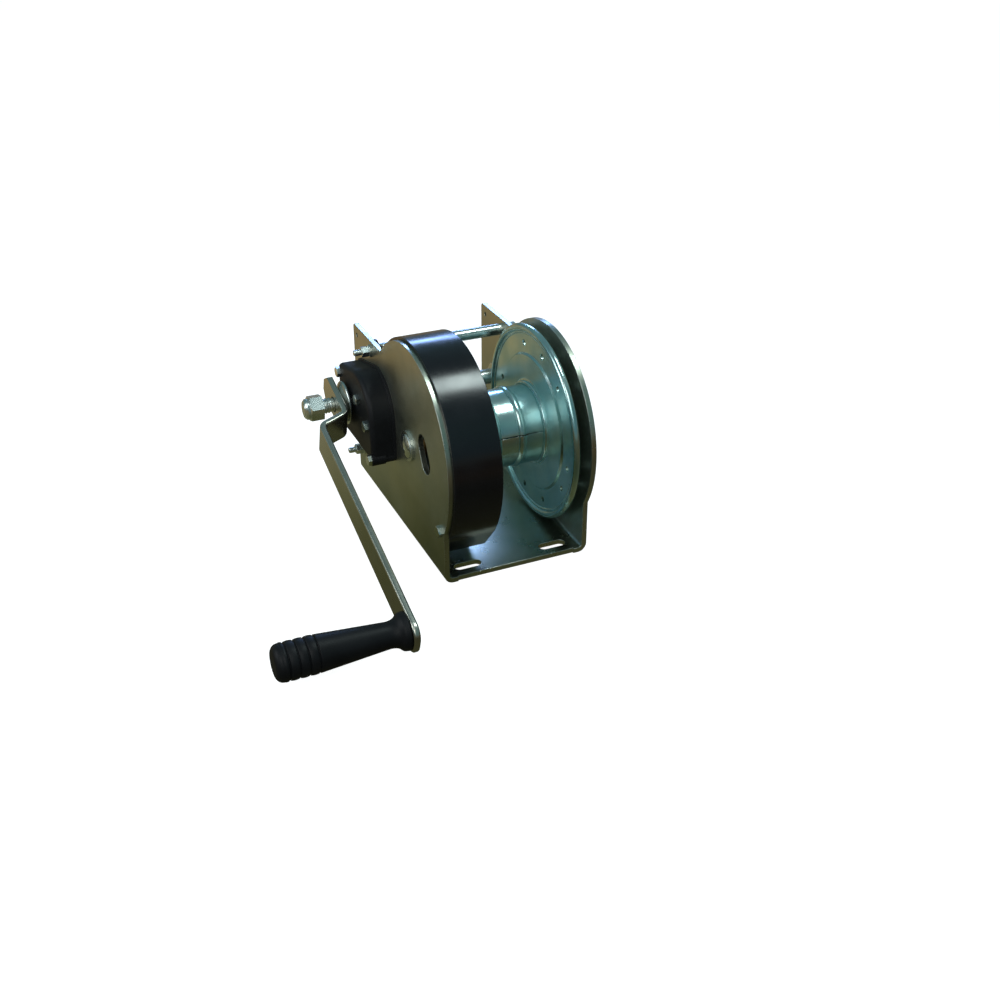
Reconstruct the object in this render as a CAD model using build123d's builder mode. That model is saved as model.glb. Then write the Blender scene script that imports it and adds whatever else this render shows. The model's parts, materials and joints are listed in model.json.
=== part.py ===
from build123d import *
from math import acos, asin, atan2, cos, degrees, pi, radians, sin, sqrt, tan
import os

# Boat trailer winch: a U-shaped frame carries a rope drum on a fixed axle, driven by a
# hand crank through one pair of spur gears, with a load brake on the crank shaft.
#
# Frame of the part, in millimetres: X runs along the drum axle with the crank at -X,
# Y points to the back of the winch, Z is up. The origin is the middle of the four
# mounting slots, on the underside of the base.

os.makedirs("parts", exist_ok=True)

# --- Driving dimensions -------------------------------------------------------------

# Frame
frame_width = 150
plate = 5
bend_inner_radius = 4
base_depth = 248
side_arc_radius = 102
horn_top = 174
base_relief = 1.5
slot_pitch_x = 90
slot_pitch_y = 216
slot_length = 28
slot_width = 11

# Axles
drum_y = -36
drum_z = 106
shaft_rise = 3.5
axle_radius = 8
shaft_radius = 8
running_clearance = 0.05

# Gear pair
module = 2.5
gear_teeth = 74
pinion_teeth = 14
pressure_angle = radians(20)
gear_addendum = 1.9
pinion_addendum = 2.5
dedendum = 3.1
backlash_trim = 0.09
gear_left = -62
gear_right = -46

# Drum
core_radius = 39
core_wall = 3
flange_radius = 99.3
left_flange_radius = 95.5
flange_sheet = 3
flange_left_x = -28
flange_right_x = 55
flange_hole_angles = (75, 104, 133, 191, 212, 250, 281, 312, 344)
flange_hole_circle = 80
flange_hole_radius = 3.2
inner_hole_angle = 15
inner_hole_circle = 74

# Load brake
ratchet_teeth = 12
ratchet_tip_radius = 25
ratchet_root_radius = 20.5
brake_disc_radius = 24
pawl_offset_y = -36
pawl_offset_z = -11.5
pawl_contact_angle = radians(250)

# Crank
crank_drop = radians(16.65)
arm_width = 33
arm_thickness = 6.5
arm_root_face_x = -115.9
arm_main_face_x = -144.9
arm_root_reach = 33.7
arm_joggle_start = 30
arm_joggle_end = 42
crank_radius = 297
arm_tip_reach = 316
grip_length = 117.5

# --- Values worked out from them -----------------------------------------------------

half_width = frame_width / 2
inner_half = half_width - plate
half_depth = base_depth / 2
centre_distance = module * (gear_teeth + pinion_teeth) / 2
shaft_y = drum_y + sqrt(centre_distance**2 - shaft_rise**2)
shaft_z = drum_z + shaft_rise
mesh_angle = degrees(atan2(shaft_rise, shaft_y - drum_y))

drum_axis = Axis((0, drum_y, drum_z), (1, 0, 0))
shaft_axis = Axis((0, shaft_y, shaft_z), (1, 0, 0))
drum_profile = Plane(origin=(0, drum_y, drum_z), x_dir=(1, 0, 0), z_dir=(0, -1, 0))
shaft_profile = Plane(origin=(0, shaft_y, shaft_z), x_dir=(1, 0, 0), z_dir=(0, -1, 0))


def side_plane(x):
    """Sketch plane facing +X, with the part's own Y and Z as its axes."""
    return Plane(origin=(x, 0, 0), x_dir=(0, 1, 0), z_dir=(1, 0, 0))


def drum_plane(x):
    """Sketch plane facing +X, centred on the drum axle."""
    return Plane(origin=(x, drum_y, drum_z), x_dir=(0, 1, 0), z_dir=(1, 0, 0))


def shaft_plane(x):
    """Sketch plane facing +X, centred on the crank shaft."""
    return Plane(origin=(x, shaft_y, shaft_z), x_dir=(0, 1, 0), z_dir=(1, 0, 0))


def profile(plane, corners):
    """A closed straight-sided outline, as a face on the given plane."""
    with BuildSketch(plane) as outline:
        with BuildLine():
            Polyline(*corners, close=True)
        make_face()
    return outline.sketch


# Places on the side plates, as (Y, Z)
tie_upper = (drum_y + 106, 163.5)
tie_lower = (drum_y + 142, 36)
horn_hole = (drum_y + 148.8, 164.4)
inspection_centre = (drum_y - 41, 116)
cover_screw_low = (drum_y - 79.5, 54.2)
housing_screws_at = [
    (drum_y + 135.5, 133),
    (drum_y + 76, 127),
    (drum_y + 52, 108),
    (drum_y + 43.5, 74.5),
]
pawl_pivot = (shaft_y + pawl_offset_y, shaft_z + pawl_offset_z)

# --- Frame ---------------------------------------------------------------------------

tie_thread_radius = 3
tie_hole_radius = 3.2
bush_radius = 12
housing_screw_radius = 3
cover_screw_radius = 3
pawl_pin_radius = 4
side_height = drum_z + side_arc_radius
arc_drop = sqrt(side_arc_radius**2 - (half_depth + drum_y) ** 2)
horn_start = drum_y + sqrt(side_arc_radius**2 - (horn_top - drum_z) ** 2)

with BuildSketch(Plane.XZ) as channel_hollow:
    with Locations((0, side_height / 2 + plate)):
        Rectangle(frame_width - 2 * plate, side_height)
    fillet(channel_hollow.vertices().group_by(Axis.Y)[0], bend_inner_radius)

with BuildPart() as frame:
    # U section, bent from one plate
    with BuildSketch(Plane.XZ) as channel:
        with Locations((0, side_height / 2)):
            Rectangle(frame_width, side_height)
        fillet(channel.vertices().group_by(Axis.Y)[0], bend_inner_radius + plate)
        add(channel_hollow.sketch_local, mode=Mode.SUBTRACT)
    extrude(amount=side_arc_radius - drum_y, both=True)
    # Side outline: upright front edge, arc over the drum, flat-topped horn behind
    with BuildSketch(Plane.YZ):
        with BuildLine():
            Line((-half_depth, 0), (-half_depth, drum_z - arc_drop))
            ThreePointArc(
                (-half_depth, drum_z - arc_drop),
                (drum_y, drum_z + side_arc_radius),
                (horn_start, horn_top),
            )
            Line((horn_start, horn_top), (half_depth, horn_top))
            Line((half_depth, horn_top), (half_depth, 0))
            Line((half_depth, 0), (-half_depth, 0))
        make_face()
    extrude(amount=half_width, both=True, mode=Mode.INTERSECT)
    # The flat of the base stands back a little between the bends
    with BuildSketch(Plane.XY):
        with Locations((0, half_depth), (0, -half_depth)):
            Rectangle(frame_width - 28, 2 * base_relief)
    extrude(amount=plate, mode=Mode.SUBTRACT)
    # Mounting slots
    with BuildSketch(Plane.XY):
        with GridLocations(slot_pitch_x, slot_pitch_y, 2, 2):
            SlotOverall(slot_length, slot_width)
    extrude(amount=plate, mode=Mode.SUBTRACT)
    # Holes through both side plates
    with BuildSketch(Plane.YZ):
        with Locations(tie_upper, tie_lower):
            Circle(tie_hole_radius)
        with Locations(horn_hole):
            Circle(2.5)
        with Locations((drum_y, drum_z)):
            Circle(axle_radius + running_clearance)
        with Locations((shaft_y, shaft_z)):
            Circle(bush_radius)
    extrude(amount=half_width, both=True, mode=Mode.SUBTRACT)
    # Holes in the crank-side plate alone
    with BuildSketch(side_plane(-half_width)):
        with Locations(*housing_screws_at):
            Circle(housing_screw_radius)
        with Locations(cover_screw_low):
            Circle(cover_screw_radius)
        with Locations(pawl_pivot):
            Circle(pawl_pin_radius)
        with Locations(Location((inspection_centre[0], inspection_centre[1], 0), (0, 0, 63))):
            SlotOverall(39, 23)
    extrude(amount=plate, mode=Mode.SUBTRACT)
    # Worn-off sharpness: rounded horn corner and concave corner at the arc's end
    horn_edges = frame.edges().filter_by(Axis.X).filter_by(lambda e: e.center().Z > horn_top - 1)
    rear_corners = horn_edges.group_by(Axis.Y)[-1]
    fillet(rear_corners, 4)
    arc_ends = frame.edges().filter_by(Axis.X).filter_by(
        lambda e: abs(e.center().Y - horn_start) < 0.5 and abs(e.center().Z - horn_top) < 0.5
    )
    fillet(arc_ends, 6)

frame.part.label = "frame"
export_step(frame.part, "parts/frame.step")

# --- Tie rods and their nuts -----------------------------------------------------------

tie_rod_radius = 6
tie_thread_end = half_width + 18
nut_height = 8
nut_across_flats = 10
tie_washer_height = 2.4
tie_washer_radius = 6.5
nut_bevel = 0.8


def tie_rod_outline():
    """Half section of a rod with thinner threaded ends, as (x, radius) corners."""
    return [
        (-tie_thread_end, 0),
        (-tie_thread_end, tie_thread_radius - 0.8),
        (-tie_thread_end + 0.8, tie_thread_radius),
        (-inner_half, tie_thread_radius),
        (-inner_half, tie_rod_radius),
        (inner_half, tie_rod_radius),
        (inner_half, tie_thread_radius),
        (tie_thread_end - 0.8, tie_thread_radius),
        (tie_thread_end, tie_thread_radius - 0.8),
        (tie_thread_end, 0),
    ]


def rod_plane(place):
    """Profile plane through an X-wise rod that passes the side plates at (Y, Z)."""
    return Plane(origin=(0, place[0], place[1]), x_dir=(1, 0, 0), z_dir=(0, -1, 0))


with BuildPart() as upper_tie_rod:
    add(profile(rod_plane(tie_upper), tie_rod_outline()))
    revolve(axis=Axis((0, tie_upper[0], tie_upper[1]), (1, 0, 0)))

upper_tie_rod.part.label = "upper_tie_rod"
export_step(upper_tie_rod.part, "parts/upper_tie_rod.step")

with BuildPart() as lower_tie_rod:
    add(profile(rod_plane(tie_lower), tie_rod_outline()))
    revolve(axis=Axis((0, tie_lower[0], tie_lower[1]), (1, 0, 0)))

lower_tie_rod.part.label = "lower_tie_rod"
export_step(lower_tie_rod.part, "parts/lower_tie_rod.step")


def bevelled_hex(across_flats, height, bevel, bore_radius):
    """Hexagon nut or head standing on its own XY plane, corners turned off at the top."""
    corner = across_flats / sqrt(3)
    with BuildPart(mode=Mode.PRIVATE) as body:
        with BuildSketch():
            RegularPolygon(radius=across_flats / 2, side_count=6, major_radius=False)
        extrude(amount=height)
        with BuildSketch(Plane.XZ):
            with BuildLine():
                Polyline(
                    (0, 0),
                    (corner, 0),
                    (corner, height - bevel),
                    (across_flats / 2 - 0.3, height),
                    (0, height),
                    close=True,
                )
            make_face()
        revolve(axis=Axis.Z, mode=Mode.INTERSECT)
        if bore_radius:
            with BuildSketch():
                Circle(bore_radius)
            extrude(amount=height, mode=Mode.SUBTRACT)
    return body.part


def outward(x, place, turn=0):
    """Location on a side plate at (Y, Z), local Z pointing away from the frame."""
    facing = 1 if x > 0 else -1
    spot = Plane(origin=(x, place[0], place[1]), x_dir=(0, 1, 0), z_dir=(facing, 0, 0))
    return spot.location * Location((0, 0, 0), (0, 0, turn))


tie_nut = bevelled_hex(nut_across_flats, nut_height, nut_bevel, tie_thread_radius)

with BuildPart() as tie_rod_nuts:
    for place in (tie_upper, tie_lower):
        for x in (-half_width, half_width):
            seat = x + tie_washer_height if x > 0 else x - tie_washer_height
            add(tie_nut.moved(outward(seat, place, turn=12)))

tie_rod_nuts.part.label = "tie_rod_nuts"
export_step(tie_rod_nuts.part, "parts/tie_rod_nuts.step")

with BuildPart() as tie_rod_washers:
    for place in (tie_upper, tie_lower):
        for x in (-half_width - tie_washer_height, half_width):
            with BuildSketch(side_plane(x)):
                with Locations(place):
                    Circle(tie_washer_radius)
                    Circle(tie_thread_radius, mode=Mode.SUBTRACT)
            extrude(amount=tie_washer_height)

tie_rod_washers.part.label = "tie_rod_washers"
export_step(tie_rod_washers.part, "parts/tie_rod_washers.step")

# --- Drum axle: an M16 pin through both plates, with a spacer tube inside -------------

washer_radius = 15
washer_height = 2.5
axle_head_radius = 11.5
axle_head_height = 3.6
axle_across_flats = 24
axle_nut_height = 13
spacer_radius = 11
axle_end = half_width + washer_height + axle_nut_height + 3

with BuildPart() as drum_axle:
    # Low domed head
    head_x = -half_width - washer_height
    dome_rise = axle_head_height - 0.8
    dome_radius = (axle_head_radius**2 + dome_rise**2) / (2 * dome_rise)
    dome_half = asin(axle_head_radius / dome_radius) / 2
    dome_middle_x = head_x - axle_head_height + dome_radius * (1 - cos(dome_half))
    with BuildSketch(drum_profile):
        with BuildLine():
            Line((head_x, 0), (head_x, axle_head_radius))
            Line((head_x, axle_head_radius), (head_x - 0.8, axle_head_radius))
            ThreePointArc(
                (head_x - 0.8, axle_head_radius),
                (dome_middle_x, dome_radius * sin(dome_half)),
                (head_x - axle_head_height, 0),
            )
            Line((head_x - axle_head_height, 0), (head_x, 0))
        make_face()
    revolve(axis=drum_axis)
    with BuildSketch(drum_plane(head_x)):
        Circle(axle_radius)
    extrude(amount=axle_end - head_x)
    chamfer(drum_axle.faces().sort_by(Axis.X)[-1].edges(), 1.2)

drum_axle.part.label = "drum_axle"
export_step(drum_axle.part, "parts/drum_axle.step")

with BuildPart() as drum_axle_washers:
    for x in (-half_width - washer_height, half_width):
        with BuildSketch(drum_plane(x)):
            Circle(washer_radius)
            Circle(axle_radius, mode=Mode.SUBTRACT)
        extrude(amount=washer_height)

drum_axle_washers.part.label = "drum_axle_washers"
export_step(drum_axle_washers.part, "parts/drum_axle_washers.step")

with BuildPart() as drum_axle_nut:
    axle_nut = bevelled_hex(axle_across_flats, axle_nut_height, 1.6, axle_radius)
    add(axle_nut.moved(outward(half_width + washer_height, (drum_y, drum_z), turn=20)))

drum_axle_nut.part.label = "drum_axle_nut"
export_step(drum_axle_nut.part, "parts/drum_axle_nut.step")

with BuildPart() as drum_axle_spacer:
    with BuildSketch(drum_plane(-inner_half)):
        Circle(spacer_radius)
        Circle(axle_radius, mode=Mode.SUBTRACT)
    extrude(amount=2 * inner_half)

drum_axle_spacer.part.label = "drum_axle_spacer"
export_step(drum_axle_spacer.part, "parts/drum_axle_spacer.step")

# --- Gear pair --------------------------------------------------------------------------


def involute(angle):
    return tan(angle) - angle


def gear_face(teeth, addendum, first_tooth_angle):
    """Involute gear outline with straight roots, as a face on XY about the origin."""
    pitch_radius = module * teeth / 2
    base_radius = pitch_radius * cos(pressure_angle)
    tip_radius = pitch_radius + addendum
    root_radius = pitch_radius - dedendum
    half_at_pitch = pi / (2 * teeth) - backlash_trim / pitch_radius

    def half_angle(radius):
        """Half the tooth's angular thickness at this radius."""
        if radius <= base_radius:
            return half_at_pitch + involute(pressure_angle)
        return half_at_pitch + involute(pressure_angle) - involute(acos(base_radius / radius))

    def point(radius, angle):
        return (radius * cos(angle), radius * sin(angle))

    flank_start = max(base_radius + 0.02, root_radius)
    flank_radii = [flank_start + (tip_radius - flank_start) * step / 4 for step in range(5)]
    with BuildSketch() as gear:
        with BuildLine():
            for tooth in range(teeth):
                middle = radians(first_tooth_angle) + 2 * pi * tooth / teeth
                following = middle + 2 * pi / teeth
                rising = [point(r, middle - half_angle(r)) for r in flank_radii]
                falling = [point(r, middle + half_angle(r)) for r in reversed(flank_radii)]
                Spline(*rising)
                ThreePointArc(rising[-1], point(tip_radius, middle), falling[0])
                Spline(*falling)
                root_half = half_angle(root_radius)
                left_root = point(root_radius, middle + root_half)
                right_root = point(root_radius, following - root_half)
                if root_radius < flank_start:
                    Line(falling[-1], left_root)
                ThreePointArc(left_root, point(root_radius, (middle + following) / 2), right_root)
                if root_radius < flank_start:
                    Line(right_root, point(flank_start, following - half_angle(flank_start)))
        make_face()
    return gear.sketch


bush_outer = 14
gear_boss_radius = 52
gear_web_left = -58
gear_web_right = -50
rivet_circle = 45.5
rivet_count = 6
rivet_radius = 3

with BuildPart() as drum_gear:
    toothed = gear_face(gear_teeth, gear_addendum, mesh_angle)
    extrude(toothed.moved(drum_plane(gear_left).location), amount=gear_right - gear_left)
    # Lightening recess on the outer side, between rim and boss
    with BuildSketch(drum_plane(gear_left)):
        Circle(80)
        Circle(34, mode=Mode.SUBTRACT)
    extrude(amount=gear_web_left - gear_left, mode=Mode.SUBTRACT)
    with BuildSketch(drum_plane(gear_web_right)):
        Circle(80)
        Circle(gear_boss_radius, mode=Mode.SUBTRACT)
    extrude(amount=gear_right - gear_web_right, mode=Mode.SUBTRACT)
    # Boss that carries the drum
    with BuildSketch(drum_plane(gear_right)):
        Circle(gear_boss_radius)
    extrude(amount=flange_left_x - gear_right)
    with BuildSketch(drum_plane(gear_left)):
        Circle(bush_outer)
        with PolarLocations(rivet_circle, rivet_count):
            Circle(rivet_radius)
    extrude(amount=flange_left_x - gear_left, mode=Mode.SUBTRACT)
    # Round holes through the web
    with BuildSketch(drum_plane(gear_left)):
        with PolarLocations(65, 6, start_angle=30):
            Circle(11)
    extrude(amount=gear_right - gear_left, mode=Mode.SUBTRACT)

drum_gear.part.label = "drum_gear"
export_step(drum_gear.part, "parts/drum_gear.step")

pinion_left = gear_left - 1
pinion_right = gear_right + 1

with BuildPart() as drive_pinion:
    half_pitch = 180 / pinion_teeth
    toothed = gear_face(pinion_teeth, pinion_addendum, mesh_angle + half_pitch)
    extrude(toothed.moved(shaft_plane(pinion_left).location), amount=pinion_right - pinion_left)
    with BuildSketch(shaft_plane(pinion_left)):
        Circle(shaft_radius)
    extrude(amount=pinion_right - pinion_left, mode=Mode.SUBTRACT)

drive_pinion.part.label = "drive_pinion"
export_step(drive_pinion.part, "parts/drive_pinion.step")

# --- Drum -------------------------------------------------------------------------------

core_inner = core_radius - core_wall
core_left = flange_left_x + flange_sheet
seam_angle = 168.5
seam_width = 1.2
seam_end = 51.5
bead_places = (2, 28)
bead_half = 4
bead_height = 1.8

with BuildPart() as drum_core:
    with BuildSketch(drum_plane(core_left)):
        Circle(core_radius)
        Circle(core_inner, mode=Mode.SUBTRACT)
    extrude(amount=flange_right_x - core_left)
    # Rolled stiffening beads
    for bead_x in bead_places:
        with BuildSketch(drum_profile):
            with BuildLine():
                Line((bead_x + bead_half, core_radius - 1), (bead_x - bead_half, core_radius - 1))
                Line((bead_x - bead_half, core_radius - 1), (bead_x - bead_half, core_radius))
                ThreePointArc(
                    (bead_x - bead_half, core_radius),
                    (bead_x, core_radius + bead_height),
                    (bead_x + bead_half, core_radius),
                )
                Line((bead_x + bead_half, core_radius), (bead_x + bead_half, core_radius - 1))
            make_face()
        revolve(axis=drum_axis)
    # Seam where the rolled sheet meets itself
    with BuildSketch(drum_plane(core_left)):
        with Locations(Location((0, 0, 0), (0, 0, seam_angle))):
            with Locations((core_radius, 0)):
                Rectangle(3 * core_wall, seam_width)
    extrude(amount=seam_end - core_left, mode=Mode.SUBTRACT)

drum_core.part.label = "drum_core"
export_step(drum_core.part, "parts/drum_core.step")

collar_width = 3.5
collar_radius = core_radius + 4.5
dish_radius = 68
dish_step = 1.8
roll_radius = 1.5
rim_curl_radius = 3.9

with BuildPart() as drum_flange_right:
    # Web: the middle stands a little towards the rope, past one pressed step
    web_x = flange_right_x + dish_step - 0.8
    middle_x = web_x - dish_step
    with BuildSketch(drum_profile):
        with BuildLine():
            Polyline(
                (middle_x + flange_sheet, core_radius),
                (middle_x, core_radius),
                (middle_x, dish_radius),
                (web_x, dish_radius + 2.2),
                (web_x, flange_radius - 2 * rim_curl_radius + 0.6),
                (web_x + flange_sheet, flange_radius - 2 * rim_curl_radius + 0.6),
                (web_x + flange_sheet, dish_radius + 1),
                (middle_x + flange_sheet, dish_radius - 1.2),
                close=True,
            )
        make_face()
        # Curled rim with a small roll inside it
        with Locations((web_x + 1, flange_radius - rim_curl_radius)):
            Circle(rim_curl_radius)
        with Locations((web_x + 0.4, flange_radius - 2 * rim_curl_radius - roll_radius + 0.5)):
            Circle(roll_radius)
    revolve(axis=drum_axis)
    # Flared collar round the core
    with BuildSketch(drum_profile):
        with BuildLine():
            Line((middle_x, core_radius), (middle_x - collar_width, core_radius))
            ThreePointArc(
                (middle_x - collar_width, core_radius),
                (middle_x - collar_width * 0.75, collar_radius - 1),
                (middle_x - collar_width * 0.25, collar_radius - 1.4),
            )
            ThreePointArc(
                (middle_x - collar_width * 0.25, collar_radius - 1.4),
                (middle_x - 0.5, collar_radius - 0.6),
                (middle_x, collar_radius + 2),
            )
            Line((middle_x, collar_radius + 2), (middle_x, core_radius))
        make_face()
    revolve(axis=drum_axis)
    with BuildSketch(drum_plane(web_x - 1)):
        for angle in flange_hole_angles:
            with PolarLocations(flange_hole_circle, 1, start_angle=angle):
                Circle(flange_hole_radius)
        with PolarLocations(inner_hole_circle, 1, start_angle=inner_hole_angle):
            Circle(flange_hole_radius)
    extrude(amount=flange_sheet + 2, mode=Mode.SUBTRACT)

drum_flange_right.part.label = "drum_flange_right"
export_step(drum_flange_right.part, "parts/drum_flange_right.step")

with BuildPart() as drum_flange_left:
    # Flat disc with a curled rim, riveted to the gear's boss
    with BuildSketch(drum_profile):
        with Locations((flange_left_x, spacer_radius + 4)):
            web_height = left_flange_radius - spacer_radius - 4
            Rectangle(flange_sheet, web_height, align=(Align.MIN, Align.MIN))
        with Locations((flange_left_x + flange_sheet / 2 + 0.5, left_flange_radius - 2)):
            Circle(2)
    revolve(axis=drum_axis)
    with BuildSketch(drum_plane(flange_left_x)):
        with PolarLocations(rivet_circle, rivet_count):
            Circle(rivet_radius)
    extrude(amount=flange_sheet, mode=Mode.SUBTRACT)

drum_flange_left.part.label = "drum_flange_left"
export_step(drum_flange_left.part, "parts/drum_flange_left.step")

rivet_head_radius = 5.5
rivet_head_height = 2.2

with BuildPart() as drum_rivets:
    for turn in range(rivet_count):
        angle = 2 * pi * turn / rivet_count
        rivet_y = drum_y + rivet_circle * cos(angle)
        rivet_z = drum_z + rivet_circle * sin(angle)
        rivet_section = [
            (gear_web_left - rivet_head_height, 0),
            (gear_web_left - rivet_head_height, rivet_head_radius - 1),
            (gear_web_left - 1, rivet_head_radius),
            (gear_web_left, rivet_head_radius),
            (gear_web_left, rivet_radius),
            (core_left, rivet_radius),
            (core_left, rivet_head_radius),
            (core_left + 1, rivet_head_radius),
            (core_left + rivet_head_height, rivet_head_radius - 1),
            (core_left + rivet_head_height, 0),
        ]
        rivet_face = profile(rod_plane((rivet_y, rivet_z)), rivet_section)
        revolve(rivet_face, axis=Axis((0, rivet_y, rivet_z), (1, 0, 0)))

drum_rivets.part.label = "drum_rivets"
export_step(drum_rivets.part, "parts/drum_rivets.step")

hub_left = 46
hub_right = 54

with BuildPart() as drum_end_hub:
    with BuildSketch(drum_plane(hub_left)):
        Circle(core_inner)
        Circle(bush_outer, mode=Mode.SUBTRACT)
        with PolarLocations(25, 5):
            Circle(5, mode=Mode.SUBTRACT)
    extrude(amount=hub_right - hub_left)

drum_end_hub.part.label = "drum_end_hub"
export_step(drum_end_hub.part, "parts/drum_end_hub.step")

with BuildPart() as drum_bushes:
    for left, right in ((gear_left - 3, gear_left + 24), (hub_left - 4, hub_right + 8)):
        with BuildSketch(drum_plane(left)):
            Circle(bush_outer)
            Circle(spacer_radius + running_clearance, mode=Mode.SUBTRACT)
        extrude(amount=right - left)

drum_bushes.part.label = "drum_bushes"
export_step(drum_bushes.part, "parts/drum_bushes.step")

# --- Crank shaft and its bushes -----------------------------------------------------------

shaft_right_end = 79
shaft_left_end = -147.5
circlip_left = 75.8
circlip_right = 77
circlip_groove = 7.2
thread_start = -101
thread_core = 7.1

with BuildPart() as drive_shaft:
    add(profile(shaft_profile, [
        (shaft_left_end, 0),
        (shaft_left_end, thread_core - 1),
        (shaft_left_end + 1, thread_core),
        (thread_start, thread_core),
        (thread_start, shaft_radius),
        (circlip_left, shaft_radius),
        (circlip_left, circlip_groove),
        (circlip_right, circlip_groove),
        (circlip_right, shaft_radius),
        (shaft_right_end - 1, shaft_radius),
        (shaft_right_end, shaft_radius - 1),
        (shaft_right_end, 0),
    ]))
    revolve(axis=shaft_axis)

drive_shaft.part.label = "drive_shaft"
export_step(drive_shaft.part, "parts/drive_shaft.step")

with BuildPart() as shaft_circlip:
    with BuildSketch(shaft_plane(circlip_left)):
        Circle(10.5)
        Circle(circlip_groove, mode=Mode.SUBTRACT)
        with Locations((0, -9)):
            Rectangle(5, 6, mode=Mode.SUBTRACT)
    extrude(amount=circlip_right - circlip_left)

shaft_circlip.part.label = "shaft_circlip"
export_step(shaft_circlip.part, "parts/shaft_circlip.step")

with BuildPart() as shaft_bush_left:
    add(profile(shaft_profile, [
        (-half_width - 1, shaft_radius + running_clearance),
        (-half_width - 1, bush_radius),
        (-inner_half, bush_radius),
        (-inner_half, bush_radius + 3.5),
        (-inner_half + 3, bush_radius + 3.5),
        (-inner_half + 3, shaft_radius + running_clearance),
    ]))
    revolve(axis=shaft_axis)

shaft_bush_left.part.label = "shaft_bush_left"
export_step(shaft_bush_left.part, "parts/shaft_bush_left.step")

with BuildPart() as shaft_bush_right:
    add(profile(shaft_profile, [
        (half_width, shaft_radius + running_clearance),
        (half_width, bush_radius),
        (inner_half, bush_radius),
        (inner_half, bush_radius + 2),
        (inner_half - 7.3, bush_radius + 2),
        (inner_half - 8.3, bush_radius + 1),
        (inner_half - 8.3, shaft_radius + running_clearance),
    ]))
    revolve(axis=shaft_axis)

shaft_bush_right.part.label = "shaft_bush_right"
export_step(shaft_bush_right.part, "parts/shaft_bush_right.step")

# --- Load brake ---------------------------------------------------------------------------

brake_flange_right = -77
brake_flange_left = -81.5
ratchet_right = -83.8
ratchet_left = -89.8
lining_thickness = 2
pressure_right = -92.1
pressure_left = -96.5
lining_radius = 19.8

with BuildPart() as brake_flange:
    with BuildSketch(shaft_plane(brake_flange_left)):
        Circle(brake_disc_radius)
        Circle(shaft_radius, mode=Mode.SUBTRACT)
    extrude(amount=brake_flange_right - brake_flange_left)

brake_flange.part.label = "brake_flange"
export_step(brake_flange.part, "parts/brake_flange.step")

# Radial face of the first tooth, where the pawl stands against it
tooth_step = 2 * pi / ratchet_teeth

with BuildPart() as ratchet_wheel:
    teeth_corners = []
    for tooth in range(ratchet_teeth):
        face_angle = pawl_contact_angle + tooth * tooth_step
        back_angle = face_angle + 0.12
        foot_angle = face_angle + tooth_step
        for radius, angle in (
            (ratchet_tip_radius, face_angle),
            (ratchet_tip_radius, back_angle),
            (ratchet_root_radius, foot_angle),
        ):
            teeth_corners.append((radius * cos(angle), radius * sin(angle)))
    extrude(profile(shaft_plane(ratchet_left), teeth_corners), amount=ratchet_right - ratchet_left)
    with BuildSketch(shaft_plane(ratchet_left)):
        Circle(shaft_radius + running_clearance)
    extrude(amount=ratchet_right - ratchet_left, mode=Mode.SUBTRACT)

ratchet_wheel.part.label = "ratchet_wheel"
export_step(ratchet_wheel.part, "parts/ratchet_wheel.step")

with BuildPart() as friction_linings:
    for x in (ratchet_right, ratchet_left - lining_thickness):
        with BuildSketch(shaft_plane(x)):
            Circle(lining_radius)
            Circle(shaft_radius + 1, mode=Mode.SUBTRACT)
        extrude(amount=lining_thickness)

friction_linings.part.label = "friction_linings"
export_step(friction_linings.part, "parts/friction_linings.step")

with BuildPart() as pressure_disc:
    with BuildSketch(shaft_plane(pressure_left)):
        Circle(brake_disc_radius)
        Circle(shaft_radius + running_clearance, mode=Mode.SUBTRACT)
    extrude(amount=pressure_right - pressure_left)

pressure_disc.part.label = "pressure_disc"
export_step(pressure_disc.part, "parts/pressure_disc.step")

pawl_left = -89.3
pawl_right = -84.3
pawl_eye_radius = 6.5
pawl_face_gap = 0.35


def on_wheel(radius, behind):
    """(Y, Z) relative to the shaft, so many radians behind the locked tooth face."""
    angle = pawl_contact_angle - behind
    return (radius * cos(angle), radius * sin(angle))


with BuildPart() as pawl:
    nose_gap = pawl_face_gap / ratchet_root_radius
    with BuildSketch(shaft_plane(pawl_left)):
        with BuildLine():
            Polyline(
                on_wheel(ratchet_root_radius + 0.9, nose_gap),
                on_wheel(ratchet_tip_radius + 2.5, nose_gap),
                (pawl_offset_y - 1.5, pawl_offset_z - pawl_eye_radius + 0.2),
                (pawl_offset_y, pawl_offset_z),
                (pawl_offset_y + 1.5, pawl_offset_z + pawl_eye_radius - 0.2),
                on_wheel(ratchet_tip_radius + 2.4, radians(28)),
                close=True,
            )
        make_face()
        with Locations((pawl_offset_y, pawl_offset_z)):
            Circle(pawl_eye_radius)
            Circle(pawl_pin_radius + running_clearance, mode=Mode.SUBTRACT)
    extrude(amount=pawl_right - pawl_left)

pawl.part.label = "pawl"
export_step(pawl.part, "parts/pawl.step")

with BuildPart() as pawl_pin:
    add(profile(rod_plane(pawl_pivot), [
        (-inner_half, 0),
        (-inner_half, pawl_pin_radius),
        (pawl_left - 0.4, pawl_pin_radius),
        (pawl_left - 0.4, pawl_pin_radius + 2),
        (pawl_left - 2.4, pawl_pin_radius + 2),
        (pawl_left - 2.4, 0),
    ]))
    revolve(axis=Axis((0, pawl_pivot[0], pawl_pivot[1]), (1, 0, 0)))

pawl_pin.part.label = "pawl_pin"
export_step(pawl_pin.part, "parts/pawl_pin.step")

spring_wire = 0.5
spring_radius = 5
spring_pitch = 1.3
spring_start = -77.5

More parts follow.
